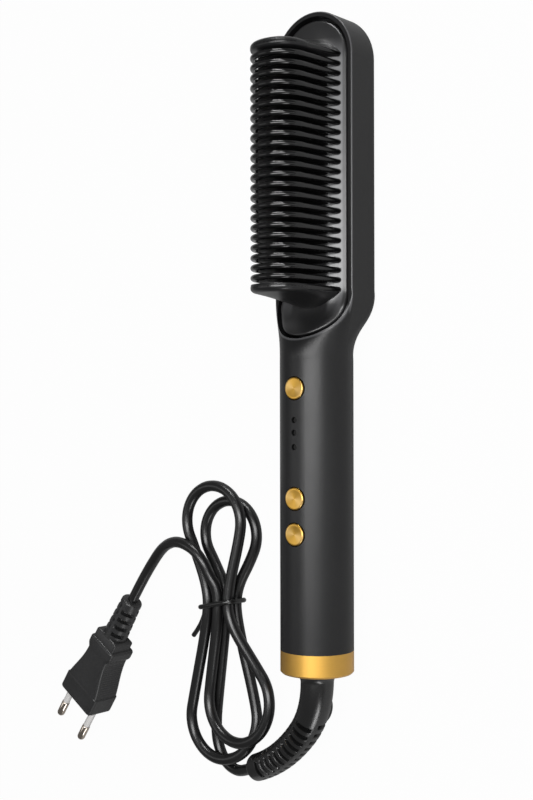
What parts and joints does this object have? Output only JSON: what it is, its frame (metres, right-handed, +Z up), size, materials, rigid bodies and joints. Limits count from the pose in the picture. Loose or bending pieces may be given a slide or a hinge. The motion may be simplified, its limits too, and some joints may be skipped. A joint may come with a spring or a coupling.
{
  "type": "hair straightening brush",
  "caption": "Electric hair straightening brush with a round handle, a comb of black hoops over a heated plate, gold push buttons, and a mains cord on a swivel, hanked and tied.",
  "frame": {"origin": "on the table, under the middle of the brush without its cord, which lies on its flat back", "axes": "+Y along the brush towards the head, +Z up through the comb, +X to the right seen from the front"},
  "size_m": [0.1968, 0.3441, 0.053],
  "materials": {
    "case_black": "satin",
    "tray_black": "satin",
    "comb_black": "gloss",
    "gold_metal": "satin",
    "hot_plate": "satin",
    "ceramic": "matte",
    "mica": "matte",
    "steel": "satin",
    "sensor_glass": "gloss",
    "fuse_metal": "satin",
    "board_green": "satin",
    "component_black": "matte",
    "plunger_white": "matte",
    "led_white": "matte",
    "light_pipe": "gloss",
    "capacitor_grey": "matte",
    "wire_skin": "satin",
    "swivel_plastic": "satin",
    "contact_brass": "satin",
    "boot_rubber": "satin",
    "cord_rubber": "satin",
    "tie_black": "satin",
    "plug_black": "satin",
    "pin_metal": "gloss",
    "sleeve_grey": "satin"
  },
  "bodies": {
    "brush": {"rear_shell": "case_black", "front_shell": "case_black", "comb_tray": "tray_black", "comb_guard": "comb_black", "end_ring": "gold_metal", "heating_plate": "hot_plate", "ceramic_heater": "ceramic", "insulating_sheet": "mica", "heater_clamp": "steel", "clamp_screws": "steel", "heat_shield": "steel", "board_screws": "steel", "case_screws": "steel", "temperature_sensor": "sensor_glass", "thermal_fuse": "fuse_metal", "control_board": "board_green", "tact_switches": "component_black", "triac": "component_black", "indicator_leds": "led_white", "light_guide": "light_pipe", "film_capacitor": "capacitor_grey", "heater_wires": "wire_skin", "supply_wires": "wire_skin", "swivel_socket": "swivel_plastic", "contact_springs": "contact_brass"},
    "cord": {"swivel_spindle": "swivel_plastic", "slip_rings": "contact_brass", "retaining_clip": "steel", "cord_boot": "boot_rubber", "cord_lead": "cord_rubber", "cord_hank": "cord_rubber", "cord_tail": "cord_rubber", "cord_tie": "tie_black", "plug_body": "plug_black", "plug_relief": "plug_black", "plug_pins": "pin_metal", "pin_sleeves": "sleeve_grey"},
    "power_button": {"button_power": "gold_metal", "plunger_power": "plunger_white"},
    "plus_button": {"button_plus": "gold_metal", "plunger_plus": "plunger_white"},
    "minus_button": {"button_minus": "gold_metal", "plunger_minus": "plunger_white"}
  },
  "joints": [
    {"name": "power_press", "type": "slide", "parent": "brush", "child": "power_button", "axis": [0, 0, -1], "range_m": [0, 0.0006], "stiffness_N_per_m": 900},
    {"name": "plus_press", "type": "slide", "parent": "brush", "child": "plus_button", "axis": [0, 0, -1], "range_m": [0, 0.0006], "stiffness_N_per_m": 900},
    {"name": "minus_press", "type": "slide", "parent": "brush", "child": "minus_button", "axis": [0, 0, -1], "range_m": [0, 0.0006], "stiffness_N_per_m": 900},
    {"name": "cord_swivel", "type": "hinge", "parent": "brush", "child": "cord", "pos_m": [0, -0.138, 0.016], "axis": [0, 1, 0], "continuous": true}
  ]
}
